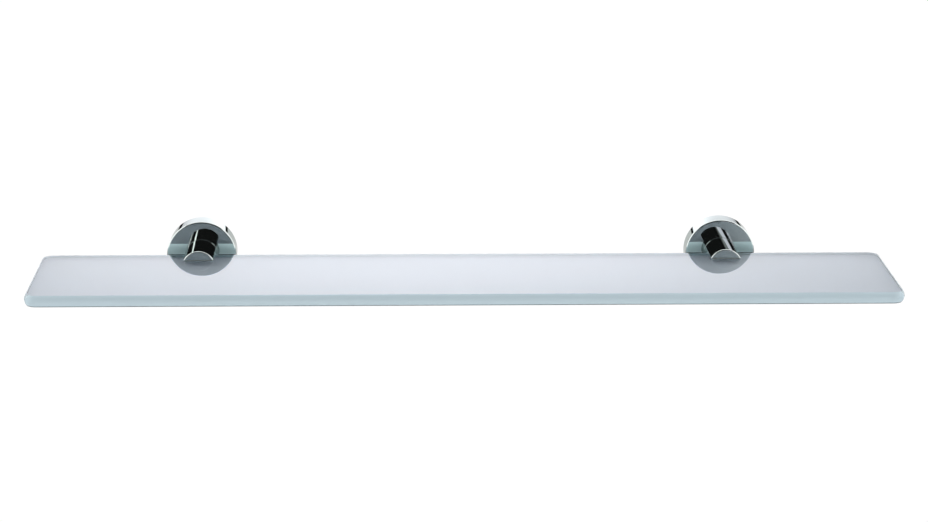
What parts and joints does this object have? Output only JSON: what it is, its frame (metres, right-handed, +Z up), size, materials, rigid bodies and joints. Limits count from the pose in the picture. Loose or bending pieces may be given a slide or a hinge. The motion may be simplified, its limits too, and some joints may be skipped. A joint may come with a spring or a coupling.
{
  "type": "glass wall shelf with brackets",
  "caption": "Frosted glass wall shelf gripped at its back edge by round chromed posts on concealed-fixing roses.",
  "frame": {"origin": "on the wall plane, midway between the two brackets, at the height of the post axes", "axes": "+X along the shelf to the right as seen from the room, +Y into the wall, +Z up"},
  "size_m": [0.6, 0.1395, 0.05],
  "materials": {
    "frosted_glass": "toughened float glass, polished top, satin-etched underside, satin pencil-ground edge",
    "polished_chrome": "bright chrome plate on brass",
    "zinc_plated_steel": "bright zinc plate on turned steel",
    "stainless_steel": "plain stainless steel, as machined",
    "clear_vinyl": "soft clear vinyl, slightly cloudy",
    "brass": "plain rolled brass strip"
  },
  "bodies": {
    "brackets": {"left_wall_plate": "zinc_plated_steel", "left_rose": "polished_chrome", "left_post": "polished_chrome", "left_post_screw": "stainless_steel", "left_spring_washer": "stainless_steel", "left_alignment_pin": "stainless_steel", "left_slot_liner": "clear_vinyl", "left_pressure_plate": "brass", "right_wall_plate": "zinc_plated_steel", "right_rose": "polished_chrome", "right_post": "polished_chrome", "right_post_screw": "stainless_steel", "right_spring_washer": "stainless_steel", "right_alignment_pin": "stainless_steel", "right_slot_liner": "clear_vinyl", "right_pressure_plate": "brass"},
    "glass": {"glass_shelf": "frosted_glass"},
    "left_clamp_screw": {"left_glass_clamp_screw": "stainless_steel"},
    "left_lock_screw": {"left_rose_lock_screw": "stainless_steel"},
    "right_clamp_screw": {"right_glass_clamp_screw": "stainless_steel"},
    "right_lock_screw": {"right_rose_lock_screw": "stainless_steel"}
  },
  "joints": [
    {"name": "glass_slide", "type": "slide", "parent": "brackets", "child": "glass", "axis": [0, -1, 0], "range_m": [0, 0.024]},
    {"name": "left_clamp_screw_travel", "type": "slide", "parent": "brackets", "child": "left_clamp_screw", "axis": [0, 0, -1], "range_m": [0, 0.001]},
    {"name": "left_lock_screw_travel", "type": "slide", "parent": "brackets", "child": "left_lock_screw", "axis": [0, 0, -1], "range_m": [0, 0.001]},
    {"name": "right_clamp_screw_travel", "type": "slide", "parent": "brackets", "child": "right_clamp_screw", "axis": [0, 0, -1], "range_m": [0, 0.001]},
    {"name": "right_lock_screw_travel", "type": "slide", "parent": "brackets", "child": "right_lock_screw", "axis": [0, 0, -1], "range_m": [0, 0.001]}
  ]
}
